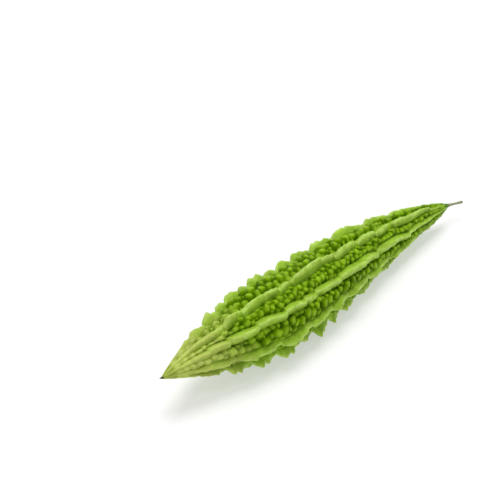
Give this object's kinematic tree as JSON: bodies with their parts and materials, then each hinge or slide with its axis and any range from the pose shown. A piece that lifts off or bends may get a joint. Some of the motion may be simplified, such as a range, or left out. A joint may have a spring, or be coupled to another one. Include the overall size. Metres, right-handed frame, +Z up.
{
  "type": "bitter gourd",
  "caption": "Spindle-shaped green bitter gourd lying on its side, with toothed lengthwise ridges, rows of rounded warts between them, a short dry stem and a withered tip.",
  "frame": {"origin": "centre of the object's box, on the surface that the gourd lies on", "axes": "+X along the fruit towards the stem end, +Y across it, +Z up"},
  "size_m": [0.255, 0.0477, 0.0442],
  "materials": {
    "gourd_skin": "waxy green skin, glossy on ridges and warts, darker in the creases, paler at the blossom end",
    "dry_stem": "fibrous grey-green stem, partly dried",
    "withered_nib": "dry brown remains of the flower"
  },
  "bodies": {
    "root": {"fruit": "gourd_skin", "stem": "dry_stem", "blossom_nib": "withered_nib"}
  },
  "joints": []
}
